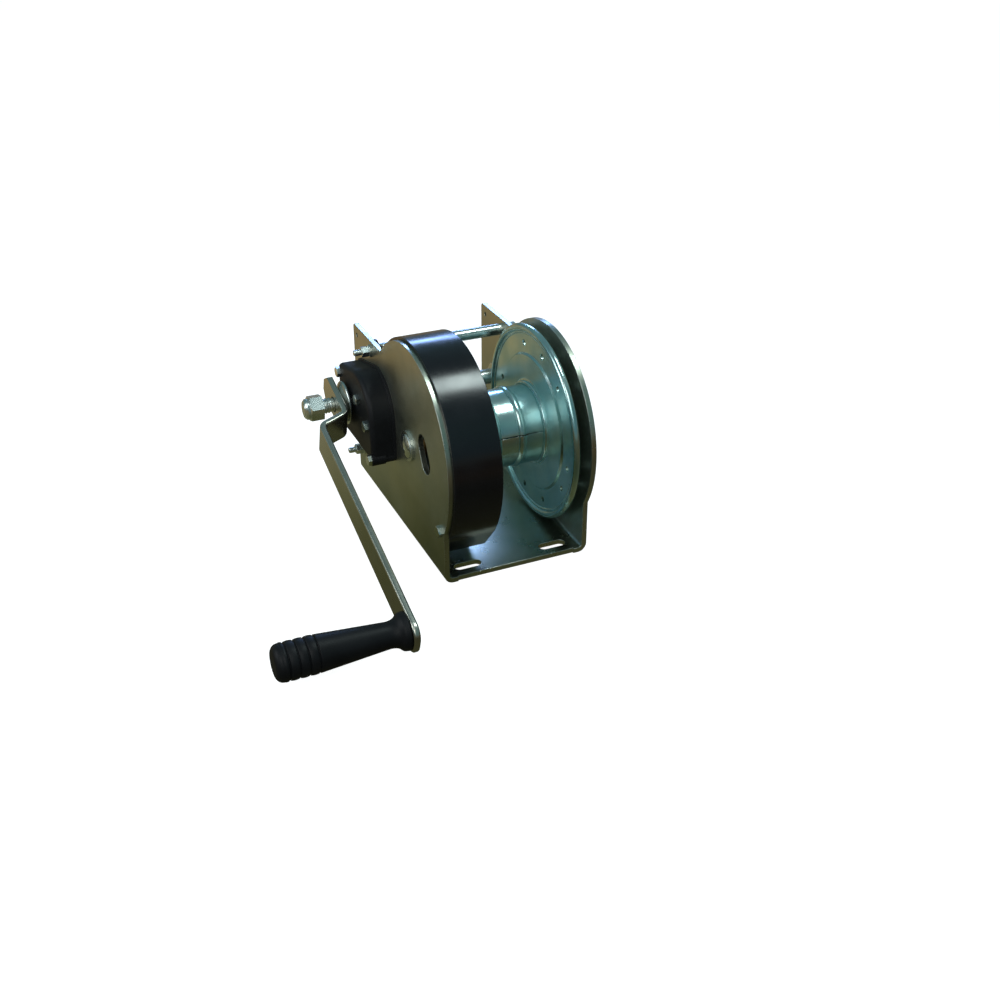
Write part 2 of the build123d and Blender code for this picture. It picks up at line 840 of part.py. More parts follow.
with BuildPart() as pawl_spring:
    with BuildLine() as spring_path:
        Helix(
            pitch=spring_pitch,
            height=4 * spring_pitch,
            radius=spring_radius,
            center=(spring_start, pawl_pivot[0], pawl_pivot[1]),
            direction=(-1, 0, 0),
        )
    with BuildSketch(Plane(origin=spring_path.line @ 0, z_dir=spring_path.line % 0)):
        Circle(spring_wire)
    sweep()

pawl_spring.part.label = "pawl_spring"
export_step(pawl_spring.part, "parts/pawl_spring.step")

# --- Brake housing and its screws -----------------------------------------------------------

housing_face_x = -100
housing_wall = 2.5
housing_rear = drum_y + 141
housing_front = drum_y + 38.5
housing_floor = 72
rear_top = 140.5
arc_centre = (drum_y + 83.3, 109.5)
arc_radius = 43.5
hub_opening = 15
screw_boss_radius = 5.4
lug_radius = 6.5
lug_depth = 14


def on_arc(angle):
    """(Y, Z) on the housing's rounded upper front, at an angle in degrees."""
    turn = radians(angle)
    return (arc_centre[0] + arc_radius * cos(turn), arc_centre[1] + arc_radius * sin(turn))


with BuildSketch(side_plane(housing_face_x)) as housing_outline:
    with BuildLine():
        Line((housing_front, housing_floor), (housing_rear, housing_floor))
        Line((housing_rear, housing_floor), (housing_rear, rear_top))
        Line((housing_rear, rear_top), on_arc(76))
        ThreePointArc(on_arc(76), on_arc(128), on_arc(180))
        Line(on_arc(180), (housing_front, housing_floor))
    make_face()
    square_corners = housing_outline.vertices().filter_by(
        lambda v: abs(v.X - housing_rear) < 0.01 or abs(v.Y - housing_floor) < 0.01
    )
    fillet(square_corners, 4)

housing_depth = -half_width - housing_face_x

with BuildPart() as brake_housing:
    extrude(housing_outline.sketch, amount=housing_depth)
    fillet(brake_housing.faces().sort_by(Axis.X)[0].edges(), 5)
    # Foot that spreads against the side plate
    with BuildSketch(side_plane(-half_width - 2.5)):
        offset(housing_outline.sketch_local, amount=1.6)
    extrude(amount=2.5)
    # Lug for the lowest screw
    with BuildSketch(side_plane(housing_face_x)):
        with Locations(housing_screws_at[-1]):
            Circle(lug_radius)
    extrude(amount=lug_depth)
    # Hollow inside, open towards the side plate
    with BuildSketch(side_plane(housing_face_x + housing_wall)):
        offset(housing_outline.sketch_local, amount=-housing_wall - 1)
    extrude(amount=housing_depth - housing_wall, mode=Mode.SUBTRACT)
    # Screw posts
    with BuildSketch(side_plane(housing_face_x + 1)):
        with Locations(*housing_screws_at):
            Circle(screw_boss_radius)
    extrude(amount=housing_depth - 1)
    with BuildSketch(side_plane(housing_face_x)):
        with Locations(*housing_screws_at):
            Circle(housing_screw_radius)
        with Locations((shaft_y, shaft_z)):
            Circle(hub_opening)
    extrude(amount=housing_depth, mode=Mode.SUBTRACT)

brake_housing.part.label = "brake_housing"
export_step(brake_housing.part, "parts/brake_housing.step")

small_head_height = 4
small_across_flats = 10
small_head = bevelled_hex(small_across_flats, small_head_height, 0.7, 0)

with BuildPart() as housing_screws:
    for index, place in enumerate(housing_screws_at):
        add(small_head.moved(outward(housing_face_x, place, turn=25 * index)))
        with BuildSketch(side_plane(housing_face_x)):
            with Locations(place):
                Circle(housing_screw_radius)
        extrude(amount=-housing_face_x - inner_half)

housing_screws.part.label = "housing_screws"
export_step(housing_screws.part, "parts/housing_screws.step")

# --- Crank ------------------------------------------------------------------------------------

hub_barrel_radius = 13
hub_flange_radius = 22.5
hub_flange_right = -103
arm_root_inner = arm_root_face_x + arm_thickness
arm_main_inner = arm_main_face_x + arm_thickness
hub_tip = pressure_left - 0.3

with BuildPart() as crank_hub:
    add(profile(shaft_profile, [
        (hub_tip, shaft_radius + running_clearance),
        (hub_tip, hub_barrel_radius),
        (hub_flange_right, hub_barrel_radius),
        (hub_flange_right, hub_flange_radius - 0.6),
        (hub_flange_right - 0.6, hub_flange_radius),
        (hub_flange_right - 2, hub_flange_radius),
        (hub_flange_right - 2.6, hub_flange_radius - 0.6),
        (arm_root_inner + 0.6, hub_barrel_radius + 2),
        (arm_root_inner, hub_barrel_radius),
        (arm_root_inner, shaft_radius + running_clearance),
    ]))
    revolve(axis=shaft_axis)

crank_hub.part.label = "crank_hub"
export_step(crank_hub.part, "parts/crank_hub.step")

# Local axes of the crank arm: x along the arm from shaft to grip, y towards +X of the
# part, z square to both, pointing up
arm_direction = (0, -cos(crank_drop), -sin(crank_drop))
arm_up = (0, -sin(crank_drop), cos(crank_drop))
arm_plane = Plane(origin=(0, shaft_y, shaft_z), x_dir=arm_direction, z_dir=arm_up)
arm_face_plane = Plane(origin=(0, shaft_y, shaft_z), x_dir=arm_direction, z_dir=(1, 0, 0))
grip_bolt_radius = 5
bend_radius = 8.5
arm_edge_round = 2.3
root_middle = arm_root_face_x + arm_thickness / 2
main_middle = arm_main_face_x + arm_thickness / 2

with BuildPart() as crank_arm:
    # Flat bar with a double bend, drawn edge-on along its middle
    with BuildSketch(arm_plane):
        with BuildLine():
            FilletPolyline(
                (-arm_root_reach, root_middle),
                (arm_joggle_start, root_middle),
                (arm_joggle_end, main_middle),
                (arm_tip_reach, main_middle),
                radius=bend_radius,
            )
        trace(line_width=arm_thickness)
    extrude(amount=arm_width / 2, both=True)
    # Outline of the bar seen from the side: clipped root, rounded tip
    with BuildSketch(arm_face_plane.offset(arm_main_face_x - 1)):
        with Locations(((arm_tip_reach - arm_root_reach) / 2, 0)):
            blank = Rectangle(arm_tip_reach + arm_root_reach, arm_width)
        tip_corners = blank.vertices().group_by(Axis.X)[-1]
        fillet(tip_corners, 13)
        with Locations((0, 0)):
            Circle(shaft_radius + 0.4, mode=Mode.SUBTRACT)
        with Locations((crank_radius, 0)):
            Circle(grip_bolt_radius, mode=Mode.SUBTRACT)
    extrude(amount=60, mode=Mode.INTERSECT)
    root_ends = crank_arm.edges().filter_by(Axis.X).group_by(Axis.Y)[-2:]
    long_ends = [e for group in root_ends for e in group if e.length > arm_thickness - 0.2]
    chamfer(long_ends, 10)
    # Rolled bar: rounded all along its two edges
    narrow_sides = crank_arm.faces().filter_by(
        lambda f: f.geom_type == GeomType.PLANE and abs(f.normal_at().dot(Vector(*arm_up))) > 0.99
    )
    fillet(narrow_sides.edges().filter_by(lambda e: abs(e.tangent_at(0.5).X) < 0.99), arm_edge_round)

crank_arm.part.label = "crank_arm"
export_step(crank_arm.part, "parts/crank_arm.step")

# Grip axis, square to the arm
grip_y = shaft_y - crank_radius * cos(crank_drop)
grip_z = shaft_z - crank_radius * sin(crank_drop)
grip_axis = Axis((0, grip_y, grip_z), (1, 0, 0))
grip_profile = Plane(origin=(0, grip_y, grip_z), x_dir=(1, 0, 0), z_dir=(0, -1, 0))
grip_gap = 0.3
grip_start = arm_main_face_x - grip_gap
spindle_length = 100
spindle_knob = 4

with BuildPart() as grip_spindle:
    spindle_end = arm_main_face_x - spindle_length
    add(profile(grip_profile, [
        (arm_main_inner + 2.5, 0),
        (arm_main_inner + 2.5, grip_bolt_radius + 1.5),
        (arm_main_inner + 1.2, grip_bolt_radius + 3),
        (arm_main_inner, grip_bolt_radius + 3),
        (arm_main_inner, grip_bolt_radius),
        (spindle_end + spindle_knob, grip_bolt_radius),
        (spindle_end + spindle_knob, grip_bolt_radius + 2),
        (spindle_end, grip_bolt_radius + 2),
        (spindle_end, 0),
    ]))
    revolve(axis=grip_axis)

grip_spindle.part.label = "grip_spindle"
export_step(grip_spindle.part, "parts/grip_spindle.step")

collar_face_radius = 17.6
waist_radius = 12
grip_max_radius = 16.6
groove_depth = 1.3
groove_count = 4
first_groove = 79.5
groove_pitch = 8.6


def along_grip(distance):
    """X of a point so far out along the grip from its collar face."""
    return grip_start - distance


with BuildPart() as grip:
    with BuildSketch(grip_profile):
        with BuildLine():
            Line((along_grip(0), 0), (along_grip(0), collar_face_radius - 0.8))
            Line((along_grip(0), collar_face_radius - 0.8), (along_grip(0.8), collar_face_radius))
            Line((along_grip(0.8), collar_face_radius), (along_grip(4.5), collar_face_radius - 0.6))
            Spline(
                (along_grip(4.5), collar_face_radius - 0.6),
                (along_grip(8), 14.4),
                (along_grip(13), waist_radius + 0.3),
                (along_grip(18), waist_radius),
                tangents=[(-1, -0.25), (-1, 0.05)],
            )
            Line((along_grip(18), waist_radius), (along_grip(first_groove), grip_max_radius))
            end_start = grip_length - 7
            for groove in range(groove_count):
                start = first_groove + groove * groove_pitch
                bottom = start + 1
                end = start + 2
                following = start + groove_pitch if groove + 1 < groove_count else end_start
                Polyline(
                    (along_grip(start), grip_max_radius),
                    (along_grip(bottom), grip_max_radius - groove_depth),
                    (along_grip(end), grip_max_radius),
                )
                ThreePointArc(
                    (along_grip(end), grip_max_radius),
                    (along_grip((end + following) / 2), grip_max_radius + 0.4),
                    (along_grip(following), grip_max_radius),
                )
            ThreePointArc(
                (along_grip(end_start), grip_max_radius),
                (along_grip(grip_length - 2), grip_max_radius - 1.9),
                (along_grip(grip_length), grip_max_radius - 6.5),
            )
            Line((along_grip(grip_length), grip_max_radius - 6.5), (along_grip(grip_length), 0))
            Line((along_grip(grip_length), 0), (along_grip(0), 0))
        make_face()
    revolve(axis=grip_axis)
    # Bore for the spindle and the room for its knob
    with BuildSketch(Plane(origin=(along_grip(0), grip_y, grip_z), x_dir=(0, 1, 0), z_dir=(-1, 0, 0))):
        Circle(grip_bolt_radius + running_clearance)
    extrude(amount=spindle_length - grip_gap + 0.4, mode=Mode.SUBTRACT)
    knob_x = arm_main_face_x - spindle_length + spindle_knob + 0.4
    with BuildSketch(Plane(origin=(knob_x, grip_y, grip_z), x_dir=(0, 1, 0), z_dir=(-1, 0, 0))):
        Circle(grip_bolt_radius + 2.4)
    extrude(amount=spindle_knob + 0.8, mode=Mode.SUBTRACT)

grip.part.label = "grip"
export_step(grip.part, "parts/grip.step")

nut_right = -128.5
nut_hex_height = 14
nut_collar_end = -147
nut_collar_radius = 10.8

with BuildPart() as crank_nut:
    lock_hex = bevelled_hex(axle_across_flats, nut_hex_height, 1.2, thread_core)
    add(lock_hex.moved(outward(nut_right, (shaft_y, shaft_z), turn=14)))
    add(profile(shaft_profile, [
        (nut_right - nut_hex_height, thread_core),
        (nut_right - nut_hex_height, nut_collar_radius),
        (nut_collar_end + 2, nut_collar_radius),
        (nut_collar_end, nut_collar_radius - 2),
        (nut_collar_end, thread_core),
    ]))
    revolve(axis=shaft_axis)

crank_nut.part.label = "crank_nut"
export_step(crank_nut.part, "parts/crank_nut.step")

# --- Gear cover and its screws ------------------------------------------------------------------

cover_outer = 105
cover_inner = 102.4
cover_right = -22.5
cover_start = 36
cover_end = 216
cover_flap = (drum_y - 61.5, 17.5)
cover_tab_radius = 11
cover_lip = 2.2


def sector(plane, inner_radius, outer_radius, start, end):
    """Annular sector between two angles in degrees, about the plane's origin."""
    first, middle, last = radians(start), radians((start + end) / 2), radians(end)

    def at(radius, angle):
        return (radius * cos(angle), radius * sin(angle))

    with BuildSketch(plane) as ring:
        with BuildLine():
            ThreePointArc(at(outer_radius, first), at(outer_radius, middle), at(outer_radius, last))
            Line(at(outer_radius, last), at(inner_radius, last))
            ThreePointArc(at(inner_radius, last), at(inner_radius, middle), at(inner_radius, first))
            Line(at(inner_radius, first), at(outer_radius, first))
        make_face()
    return ring.sketch


with BuildPart() as gear_cover:
    band = sector(drum_plane(-inner_half), cover_inner, cover_outer, cover_start, cover_end)
    extrude(band, amount=cover_right + inner_half)
    # Straight flap that carries the band on towards the base
    turn = radians(cover_end)
    flap_root = (drum_y + cover_outer * cos(turn), drum_z + cover_outer * sin(turn))
    flap_inner = (drum_y + cover_inner * cos(turn), drum_z + cover_inner * sin(turn))
    shift = (flap_inner[0] - flap_root[0], flap_inner[1] - flap_root[1])
    flap_corners = [
        flap_root,
        cover_flap,
        (cover_flap[0] + shift[0], cover_flap[1] + shift[1]),
        flap_inner,
    ]
    flap = profile(side_plane(-inner_half), flap_corners)
    extrude(flap, amount=cover_right + inner_half)
    # Inward lip against the side plate, wider where it is fixed
    lip = sector(drum_plane(-inner_half), 98, cover_inner + 1, cover_start, cover_end)
    extrude(lip, amount=cover_lip)
    screw_tab = sector(drum_plane(-inner_half), 86, cover_inner + 1, 203, cover_end)
    extrude(screw_tab, amount=cover_lip)
    # Eye that hangs on the upper tie rod
    with BuildSketch(side_plane(-inner_half)):
        with BuildLine():
            Polyline(
                (tie_upper[0] - 6, tie_upper[1] + 8),
                (drum_y + 74, drum_z + 73),
                (drum_y + 80.5, drum_z + 58.5),
                (tie_upper[0], tie_upper[1] - 9),
                close=True,
            )
        make_face()
        with Locations(tie_upper):
            Circle(cover_tab_radius)
            Circle(tie_rod_radius + running_clearance, mode=Mode.SUBTRACT)
    extrude(amount=cover_lip)
    # Stiffening bead along the open edge
    bead_plane = drum_plane(cover_right - 3)
    extrude(sector(bead_plane, cover_inner - 1.6, cover_inner + 1, cover_start, cover_end), amount=3)
    with BuildSketch(side_plane(-inner_half)):
        with Locations(cover_screw_low):
            Circle(cover_screw_radius)
    extrude(amount=cover_lip, mode=Mode.SUBTRACT)

gear_cover.part.label = "gear_cover"
export_step(gear_cover.part, "parts/gear_cover.step")

with BuildPart() as cover_screw:
    cover_nut = bevelled_hex(small_across_flats, 3, 0.6, 0)
    add(small_head.moved(outward(-half_width, cover_screw_low)))
    with BuildSketch(side_plane(-half_width)):
        with Locations(cover_screw_low):
            Circle(cover_screw_radius)
    extrude(amount=plate + cover_lip)
    inner_face = -inner_half + cover_lip
    add(cover_nut.moved(Location((inner_face, cover_screw_low[0], cover_screw_low[1]), (0, 90, 0))))

cover_screw.part.label = "cover_screw"
export_step(cover_screw.part, "parts/cover_screw.step")
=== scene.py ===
import json
from math import cos, pi, radians, sin

import bpy
from mathutils import Matrix, Vector


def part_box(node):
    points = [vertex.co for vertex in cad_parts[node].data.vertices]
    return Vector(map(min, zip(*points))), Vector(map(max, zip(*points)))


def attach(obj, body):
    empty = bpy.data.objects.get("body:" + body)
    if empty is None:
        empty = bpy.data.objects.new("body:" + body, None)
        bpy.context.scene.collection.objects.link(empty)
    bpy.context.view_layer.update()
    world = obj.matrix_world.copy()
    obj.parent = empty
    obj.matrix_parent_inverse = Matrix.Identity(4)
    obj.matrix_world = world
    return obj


# Boat trailer winch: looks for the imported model. Lengths are in metres, in the frame of
# the part: +X along the drum axle away from the crank, +Y to the back, +Z up.

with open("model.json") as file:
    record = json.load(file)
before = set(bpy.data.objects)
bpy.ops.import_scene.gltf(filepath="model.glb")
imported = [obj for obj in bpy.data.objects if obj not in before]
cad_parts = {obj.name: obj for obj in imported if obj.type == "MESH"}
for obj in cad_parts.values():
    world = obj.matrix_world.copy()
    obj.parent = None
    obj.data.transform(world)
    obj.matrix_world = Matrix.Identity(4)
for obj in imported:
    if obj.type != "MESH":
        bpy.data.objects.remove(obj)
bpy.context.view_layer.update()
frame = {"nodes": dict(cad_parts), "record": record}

MM = 0.001

# --- Camera and studio -----------------------------------------------------------------

VIEW_TURN = radians(-24.45)
VIEW_DOWN = radians(27.29)
VIEW_ROLL = radians(0.28)
CAMERA_PLACE = Vector((-0.4394, -1.0631, 0.6728))
FOCAL_LENGTH = 45.8
CAMERA_SHIFT = (-0.006, -0.060)
LIGHT_TARGET = Vector((-0.03, -0.04, 0.10))
ROOM_STRENGTH = 0.95
FLOOR_SIZE = 12
FLOOR_GLOW = 0.93
FLOOR_LEVEL = -0.3 * MM
# Middle of the painted reflection on the floor, and the span over which painted shade darkens it
# towards the front
REFLECTION_PAINT_MIDDLE = (-0.075, -0.060, 0)
REFLECTION_SHADE_DARKEST_Y = -0.30
REFLECTION_SHADE_CLEAR_Y = 0.10

# The dim room by height, from below to above
ROOM_STOPS = [
    (0.0, (0.22, 0.20, 0.12)),
    (0.48, (0.20, 0.19, 0.12)),
    (0.56, (0.11, 0.18, 0.20)),
    (0.75, (0.13, 0.24, 0.24)),
    (1.0, (0.14, 0.20, 0.22)),
]

# Painted reflection of a bench, which the floor shows only to glossy rays, by distance from its
# middle, in metres: darkest near the winch as painted shade, browner farther out
REFLECTION_PAINT_STOPS = [
    (0.0, (0.07, 0.075, 0.02)),
    (0.20, (0.16, 0.16, 0.08)),
    (0.36, (0.24, 0.23, 0.14)),
    (0.50, (0.42, 0.30, 0.14)),
    (1.0, (0.30, 0.24, 0.14)),
]

# A mix node has sockets for every kind of value; these are the ones for colours
MIX_FACTOR = 0
MIX_FIRST = 6
MIX_SECOND = 7
MIX_RESULT = 2


def make_camera():
    """The camera stands to the front left of the winch and looks down on it."""
    back = Vector((
        sin(VIEW_TURN) * cos(VIEW_DOWN),
        -cos(VIEW_TURN) * cos(VIEW_DOWN),
        sin(VIEW_DOWN),
    ))
    right = Vector((cos(VIEW_TURN), sin(VIEW_TURN), 0))
    up = back.cross(right)
    turn = Matrix((right, up, back)).transposed() @ Matrix.Rotation(VIEW_ROLL, 3, "Z")
    camera = bpy.data.cameras.new("camera")
    camera.lens = FOCAL_LENGTH
    camera.shift_x, camera.shift_y = CAMERA_SHIFT
    holder = bpy.data.objects.new("camera", camera)
    holder.matrix_world = Matrix.Translation(CAMERA_PLACE) @ turn.to_4x4()
    bpy.context.scene.collection.objects.link(holder)
    bpy.context.scene.camera = holder


def add_light(name, direction, distance, size, power, colour):
    """A rectangular softbox that shines on the middle of the winch from the given side."""
    light = bpy.data.lights.new(name, "AREA")
    light.shape = "RECTANGLE"
    light.size, light.size_y = size
    light.energy = power
    light.color = colour
    holder = bpy.data.objects.new(name, light)
    holder.location = LIGHT_TARGET + Vector(direction).normalized() * distance
    holder.rotation_euler = Vector(direction).to_track_quat("Z", "Y").to_euler()
    bpy.context.scene.collection.objects.link(holder)


def add_node(tree, kind, inputs=None, **settings):
    """Adds a shader node; inputs may be values or the sockets that feed them."""
    made = tree.nodes.new(kind)
    for name, value in settings.items():
        setattr(made, name, value)
    for name, value in (inputs or {}).items():
        if isinstance(value, bpy.types.NodeSocket):
            tree.links.new(value, made.inputs[name])
        else:
            made.inputs[name].default_value = value
    return made


def ramp(tree, factor, stops):
    """A colour ramp with (position, grey or colour) stops; gives its colour socket."""
    made = add_node(tree, "ShaderNodeValToRGB", {"Fac": factor})
    elements = made.color_ramp.elements
    while len(elements) < len(stops):
        elements.new(0.5)
    for element, (position, value) in zip(elements, stops):
        colour = (value, value, value) if isinstance(value, (int, float)) else value
        element.position = position
        element.color = (*colour, 1)
    return made.outputs["Color"]


def mix(tree, factor, first, second, blend="MIX"):
    """Mixes two colours; gives the result socket."""
    made = tree.nodes.new("ShaderNodeMix")
    made.data_type = "RGBA"
    made.blend_type = blend
    for index, value in ((MIX_FACTOR, factor), (MIX_FIRST, first), (MIX_SECOND, second)):
        if isinstance(value, bpy.types.NodeSocket):
            tree.links.new(value, made.inputs[index])
        elif index == MIX_FACTOR:
            made.inputs[index].default_value = value
        else:
            made.inputs[index].default_value = (*value, 1)
    return made.outputs[MIX_RESULT]


def combine(tree, operation, first, second):
    """Combines two values by a math operation; gives the result socket."""
    made = add_node(tree, "ShaderNodeMath", {0: first, 1: second}, operation=operation)
    return made.outputs[0]


def pick(tree, wanted, otherwise, chosen):
    """The chosen shader for the wanted kind of ray, and the other one for the rest."""
    rays = add_node(tree, "ShaderNodeLightPath")
    picked = add_node(tree, "ShaderNodeMixShader", {
        0: rays.outputs[wanted],
        1: otherwise,
        2: chosen,
    })
    return picked.outputs[0]


def make_world():
    """White behind the object; every other ray meets a dim room, olive below and teal above."""
    world = bpy.data.worlds.new("studio")
    bpy.context.scene.world = world
    world.use_nodes = True
    tree = world.node_tree
    tree.nodes.clear()
    coords = add_node(tree, "ShaderNodeTexCoord")
    height = add_node(tree, "ShaderNodeSeparateXYZ", {"Vector": coords.outputs["Generated"]})
    lifted = add_node(tree, "ShaderNodeMapRange", {"Value": height.outputs["Z"], "From Min": -1.0})
    room = ramp(tree, lifted.outputs["Result"], ROOM_STOPS)
    seen = add_node(tree, "ShaderNodeBackground", {"Color": (1, 1, 1, 1), "Strength": 1.0})
    mirrored = add_node(tree, "ShaderNodeBackground", {"Color": room, "Strength": ROOM_STRENGTH})
    surface = pick(tree, "Is Camera Ray", mirrored.outputs[0], seen.outputs[0])
    add_node(tree, "ShaderNodeOutputWorld", {"Surface": surface})


def make_floor():
    """A plain pale floor under the winch; to glossy rays it glows as a painted reflection of a dim
    olive and brown bench, with painted shade near the winch and towards the front.
    """
    bpy.ops.mesh.primitive_plane_add(size=FLOOR_SIZE, location=(0, 0, FLOOR_LEVEL))
    floor = bpy.context.object
    floor.name = "floor"
    material = bpy.data.materials.new("floor_pale")
    material.use_nodes = True
    tree = material.node_tree
    tree.nodes.clear()
    pale = add_node(tree, "ShaderNodeBsdfDiffuse", {"Color": (0.55, 0.55, 0.55, 1)})
    glow = add_node(tree, "ShaderNodeEmission", {"Color": (1, 1, 1, 1), "Strength": FLOOR_GLOW})
    plain = add_node(tree, "ShaderNodeAddShader", {0: pale.outputs[0], 1: glow.outputs[0]})
    place = add_node(tree, "ShaderNodeNewGeometry").outputs["Position"]
    away = add_node(tree, "ShaderNodeVectorMath", {
        0: place,
        1: REFLECTION_PAINT_MIDDLE,
    }, operation="DISTANCE")
    # Painted reflection: glossy rays see the floor glow in this bench colour
    painted_reflection = ramp(tree, away.outputs["Value"], REFLECTION_PAINT_STOPS)
    depth = add_node(tree, "ShaderNodeSeparateXYZ", {"Vector": place})
    # Painted shade: the painted reflection is darker towards the front
    backward = add_node(tree, "ShaderNodeMapRange", {
        "Value": depth.outputs["Y"],
        "From Min": REFLECTION_SHADE_DARKEST_Y,
        "From Max": REFLECTION_SHADE_CLEAR_Y,
    })
    shade = ramp(tree, backward.outputs[0], [(0.0, 0.25), (1.0, 1.0)])
    painted_reflection = mix(tree, 1.0, painted_reflection, shade, "MULTIPLY")
    mirrored = add_node(tree, "ShaderNodeEmission", {"Color": painted_reflection})
    spill = add_node(tree, "ShaderNodeBsdfDiffuse", {"Color": (0.30, 0.30, 0.26, 1)})
    others = pick(tree, "Is Glossy Ray", spill.outputs[0], mirrored.outputs[0])
    surface = pick(tree, "Is Camera Ray", others, plain.outputs[0])
    add_node(tree, "ShaderNodeOutputMaterial", {"Surface": surface})
    floor.data.materials.append(material)


# --- Materials ---------------------------------------------------------------------------

ALONG_X = (0.06, 1, 1)
ALONG_Y = (1, 0.06, 1)
# Painted highlight colour for the sharp edges of zinc parts
EDGE_HIGHLIGHT_PAINT = (0.80, 0.86, 0.88)

# Noise scales are in features per metre
STREAK_SCALE = 60
SCATTER_SCALE = 34
WAVE_SCALE = 45
HAZE_SCALE = 22
GRANULE_SCALE = 1400

ROUGHNESS_DIP = 0.04
ZINC_ROUGHNESS_RISE = 0.06
PLASTIC_ROUGHNESS_RISE = 0.07
WORN_ROUGHNESS = 0.42
ECHO_ROUGHNESS = 0.45
STREAK_STRENGTH = 0.12
PLASTIC_EDGE_STRENGTH = 0.45
BEVEL_SAMPLES = 16
WAVE_HEIGHT = 0.6 * MM
PLASTIC_CORNER = 0.8 * MM
PLASTIC_BUMP = 0.35
GRANULE_BUMP = 0.3
GRANULE_HEIGHT = 0.1 * MM


def new_material(name):
    """An empty principled material; gives (material, node tree, shader, coordinates)."""
    material = bpy.data.materials.new(name)
    material.use_nodes = True
    tree = material.node_tree
    shader = tree.nodes["Principled BSDF"]
    coords = add_node(tree, "ShaderNodeTexCoord").outputs["Object"]
    return material, tree, shader, coords


def noise_value(tree, coords, scale, detail=2.0, roughness=0.5, stretch=(1, 1, 1)):
    """Fractal noise over the part's own coordinates; scale is in features per metre."""
    placed = add_node(tree, "ShaderNodeMapping", {"Vector": coords, "Scale": stretch})
    made = add_node(tree, "ShaderNodeTexNoise", {
        "Vector": placed.outputs[0],
        "Scale": scale,
        "Detail": detail,
        "Roughness": roughness,
    })
    return made.outputs["Fac"]


def edge_mask(tree, radius):
    """(soft normal, mask): a rounded normal, and a mask that is light along sharp edges."""
    soft = add_node(tree, "ShaderNodeBevel", {"Radius": radius}, samples=BEVEL_SAMPLES)
    sharp = add_node(tree, "ShaderNodeNewGeometry")
    agree = add_node(tree, "ShaderNodeVectorMath", {
        0: soft.outputs["Normal"],
        1: sharp.outputs["Normal"],
    }, operation="DOT_PRODUCT")
    mask = ramp(tree, agree.outputs["Value"], [(0.80, 1.0), (0.985, 0.0)])
    return soft.outputs["Normal"], mask


def spread(tree, noise, low, high):
    """Stretches the middle of a noise over the range from low to high."""
    made = add_node(tree, "ShaderNodeMapRange", {
        "Value": noise,
        "From Min": 0.3,
        "From Max": 0.7,
        "To Min": low,
        "To Max": high,
    })
    return made.outputs[0]


def add_bump(tree, shader, height, strength, distance, normal=None):
    """Bump from a height, on top of the given normal if there is one."""
    inputs = {"Height": height, "Strength": strength, "Distance": distance}
    if normal is not None:
        inputs["Normal"] = normal
    bump = add_node(tree, "ShaderNodeBump", inputs)
    tree.links.new(bump.outputs[0], shader.inputs["Normal"])


def zinc_colour(tree, coords, tint, deep, grain, blotch, edges):
    """Clouds between the two tints, faint streaks along the grain, and a painted highlight along
    sharp edges.
    """
    clouds = noise_value(tree, coords, blotch, detail=3)
    colour = mix(tree, ramp(tree, clouds, [(0.36, 0.0), (0.66, 1.0)]), tint, deep)
    streaks = noise_value(tree, coords, STREAK_SCALE, detail=3, roughness=0.6, stretch=grain)
    streaks = ramp(tree, streaks, [(0.35, 0.6), (0.65, 1.0)])
    colour = mix(tree, STREAK_STRENGTH, colour, streaks, "MULTIPLY")
    # Painted highlight: sharp edges are lightened towards a pale blue
    return mix(tree, edges, colour, EDGE_HIGHLIGHT_PAINT)


def zinc_roughness(tree, coords, roughness, web, edges):
    """Patchy roughness, higher by web on faces across X, and high on worn edges."""
    scatter = noise_value(tree, coords, SCATTER_SCALE, detail=5, roughness=0.6)
    rough = spread(tree, scatter, roughness - ROUGHNESS_DIP, roughness + ZINC_ROUGHNESS_RISE)
    normal = add_node(tree, "ShaderNodeNewGeometry").outputs["True Normal"]
    facing = add_node(tree, "ShaderNodeSeparateXYZ", {"Vector": normal})
    across = add_node(tree, "ShaderNodeMath", {0: facing.outputs["X"]}, operation="ABSOLUTE")
    rough = combine(tree, "ADD", rough, ramp(tree, across.outputs[0], [(0.90, 0.0), (0.99, web)]))
    rough = combine(tree, "MAXIMUM", rough, combine(tree, "MULTIPLY", edges, WORN_ROUGHNESS))
    # Seen in other parts' reflections, the plate is duller
    mirrored = add_node(tree, "ShaderNodeLightPath").outputs["Is Glossy Ray"]
    return combine(tree, "MAXIMUM", rough, combine(tree, "MULTIPLY", mirrored, ECHO_ROUGHNESS))


def zinc(name, tint, deep, roughness, grain=(1, 1, 1), blotch=11, web=0.0, corner=0.6 * MM,
         wave=0.0):
    """Bright zinc plate; blotch is the scale of its clouds and wave is how wavy the sheet is."""
    material, tree, shader, coords = new_material(name)
    soft_normal, edges = edge_mask(tree, corner)
    colour = zinc_colour(tree, coords, tint, deep, grain, blotch, edges)
    tree.links.new(colour, shader.inputs["Base Color"])
    shader.inputs["Metallic"].default_value = 1.0
    rough = zinc_roughness(tree, coords, roughness, web, edges)
    tree.links.new(rough, shader.inputs["Roughness"])
    waves = noise_value(tree, coords, WAVE_SCALE, detail=1)
    add_bump(tree, shader, waves, wave, WAVE_HEIGHT, soft_normal)
    return material


